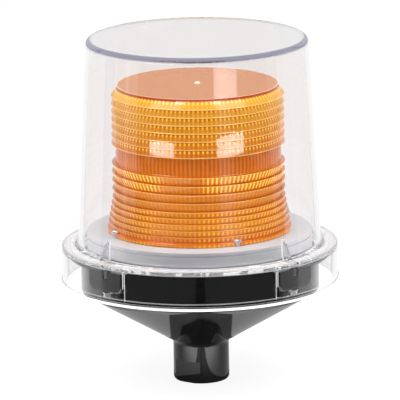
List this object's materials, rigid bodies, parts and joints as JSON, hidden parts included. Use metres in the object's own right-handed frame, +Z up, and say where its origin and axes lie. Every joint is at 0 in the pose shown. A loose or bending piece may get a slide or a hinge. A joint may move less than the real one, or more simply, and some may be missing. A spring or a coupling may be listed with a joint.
{
  "type": "rotating beacon",
  "caption": "Pipe-mount warning beacon: black cast funnel base, clear flanged dome, amber ring lens, lamp and a motor-driven turning reflector",
  "frame": {"origin": "centre of the hub's mouth, on the beacon's axis, where the pipe enters", "axes": "+Z up the beacon's axis, away from the pipe; -Y is the front, with the nameplate; +X is the right seen from the front"},
  "size_m": [0.2276, 0.2276, 0.2855],
  "materials": {
    "cast_black": "gloss",
    "dome_clear": "clear gloss",
    "lens_amber": "clear amber gloss",
    "gasket_black": "matte",
    "gasket_grey": "matte, pale",
    "nameplate_black": "satin, blank",
    "screw_steel": "satin",
    "shaft_steel": "ground",
    "bracket_steel": "zinc plated",
    "brass": "plain",
    "bearing_bronze": "oiled",
    "platform_silver": "satin",
    "reflector_chrome": "mirror",
    "gear_white": "satin",
    "motor_grey": "satin",
    "socket_steel": "nickel plated",
    "spindle_zinc": "satin",
    "lamp_clear": "clear",
    "filament_grey": "dark",
    "block_black": "satin",
    "ground_green": "gloss",
    "lead_white": "satin",
    "lead_red": "satin"
  },
  "bodies": {
    "base": {"base_housing": "cast_black", "dome_gasket": "gasket_grey", "outer_dome": "dome_clear", "dome_inserts": "brass", "nameplate_band": "nameplate_black", "dome_screws": "screw_steel", "screw_washers": "screw_steel", "chassis_plate": "platform_silver", "chassis_screws": "screw_steel", "lens_gasket": "gasket_black", "fresnel_lens": "lens_amber", "lens_screws": "screw_steel", "lamp_post": "spindle_zinc", "post_screws": "screw_steel", "retaining_clip": "screw_steel", "lamp_socket": "socket_steel", "center_contact": "brass", "lamp_base": "brass", "lamp_glass": "lamp_clear", "lamp_filament": "filament_grey", "drive_motor": "motor_grey", "motor_screws": "screw_steel", "terminal_block": "block_black", "block_screws": "screw_steel", "terminal_clamps": "brass", "ground_screw": "ground_green", "lamp_leads": "lead_white", "motor_leads": "lead_red"},
    "rotor": {"driven_gear": "gear_white", "rotor_bushing": "bearing_bronze", "reflector_bracket": "bracket_steel", "bracket_screws": "screw_steel", "reflector": "reflector_chrome", "reflector_screws": "screw_steel"},
    "pinion": {"motor_shaft": "shaft_steel", "drive_pinion": "brass"}
  },
  "joints": [
    {"name": "reflector_spin", "type": "hinge", "parent": "base", "child": "rotor", "pos_m": [0, 0, 0.132], "axis": [0, 0, 1], "continuous": true},
    {"name": "pinion_spin", "type": "hinge", "parent": "base", "child": "pinion", "pos_m": [0, 0.03762, 0.132], "axis": [0, 0, 1], "continuous": true}
  ],
  "couplings": [
    {"joint": "pinion_spin", "follows": "reflector_spin", "ratio": -4}
  ]
}
